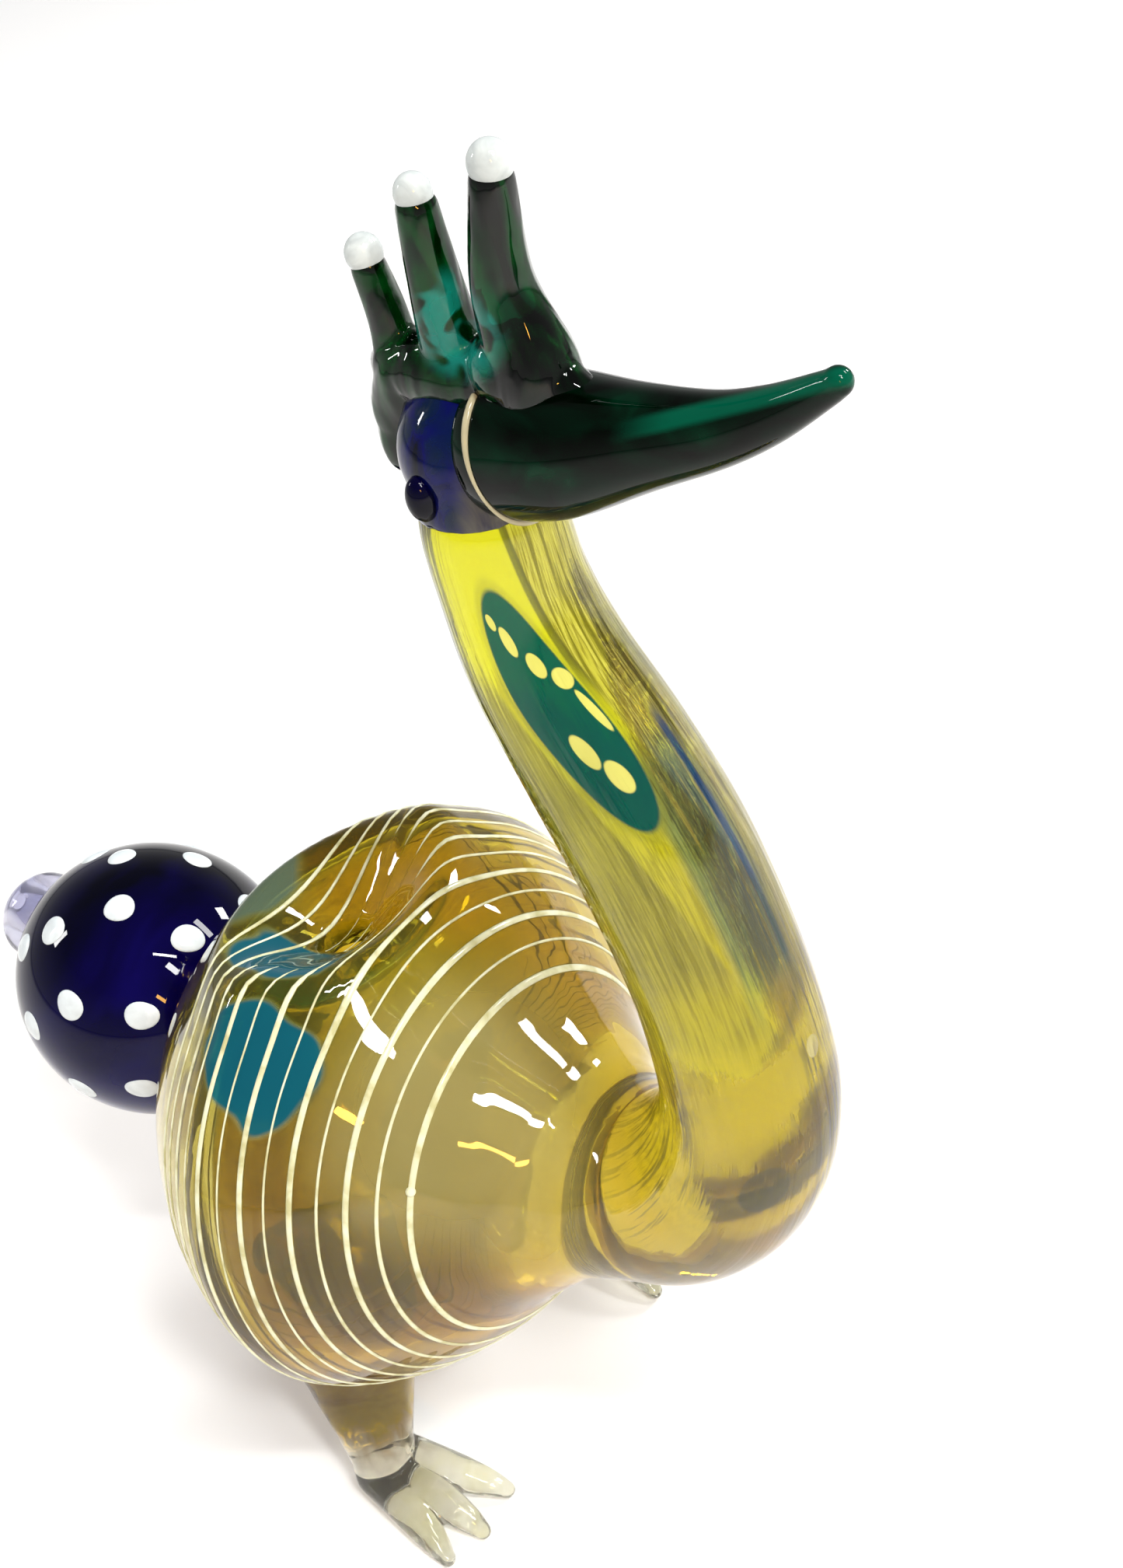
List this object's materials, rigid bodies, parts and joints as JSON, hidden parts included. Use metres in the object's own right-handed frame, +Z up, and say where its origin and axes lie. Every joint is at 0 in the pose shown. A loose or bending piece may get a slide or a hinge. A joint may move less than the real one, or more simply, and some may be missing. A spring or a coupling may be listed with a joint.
{
  "type": "lampworked glass bird figurine",
  "caption": "Free-standing bird of fused glass: round striped body with a pressed bowl, dotted tail bulb, S-shaped neck, long upturned beak, beaded crest and toed feet.",
  "frame": {"origin": "on the ground, under the middle of the bird's length and width", "axes": "+Z up, +X the way the bird faces, +Y its left side; the ground it stands on is z = 0"},
  "size_m": [0.1064, 0.052, 0.1265],
  "materials": {
    "amber_glass": "polished, fumed amber to olive",
    "yellow_glass": "polished, transparent yellow with dark linework",
    "violet_glass": "polished, swirled dark violet",
    "green_glass": "polished bottle green",
    "white_glass": "polished opal white",
    "cream_glass": "polished opaque cream",
    "cobalt_glass": "polished near-black cobalt",
    "clear_glass": "polished clear"
  },
  "bodies": {
    "root": {"beak": "green_glass", "beak_seam": "cream_glass", "body_bulb": "amber_glass", "body_trail": "cream_glass", "chest_bend": "amber_glass", "crest_base": "green_glass", "crest_bead_front": "white_glass", "crest_bead_middle": "white_glass", "crest_bead_rear": "white_glass", "crest_prong_front": "green_glass", "crest_prong_middle": "green_glass", "crest_prong_rear": "green_glass", "eye_left": "cobalt_glass", "eye_right": "cobalt_glass", "foot_left": "clear_glass", "foot_right": "clear_glass", "head_ball": "violet_glass", "leg_left": "amber_glass", "leg_right": "amber_glass", "neck_rod": "yellow_glass", "tail_bulb": "cobalt_glass", "tail_mouth": "clear_glass", "tail_dot_01": "white_glass", "tail_dot_02": "white_glass", "tail_dot_03": "white_glass", "tail_dot_04": "white_glass", "tail_dot_05": "white_glass", "tail_dot_06": "white_glass", "tail_dot_07": "white_glass", "tail_dot_08": "white_glass", "tail_dot_09": "white_glass", "tail_dot_10": "white_glass", "tail_dot_11": "white_glass", "tail_dot_12": "white_glass", "tail_dot_13": "white_glass", "tail_dot_14": "white_glass", "tail_dot_15": "white_glass", "tail_dot_16": "white_glass", "tail_dot_17": "white_glass", "tail_dot_18": "white_glass", "tail_dot_19": "white_glass", "tail_dot_20": "white_glass", "tail_dot_21": "white_glass", "tail_dot_22": "white_glass", "tail_dot_23": "white_glass", "tail_dot_24": "white_glass", "tail_dot_25": "white_glass", "tail_dot_26": "white_glass", "tail_dot_27": "white_glass", "tail_dot_28": "white_glass", "tail_dot_29": "white_glass", "tail_dot_30": "white_glass"}
  },
  "joints": []
}
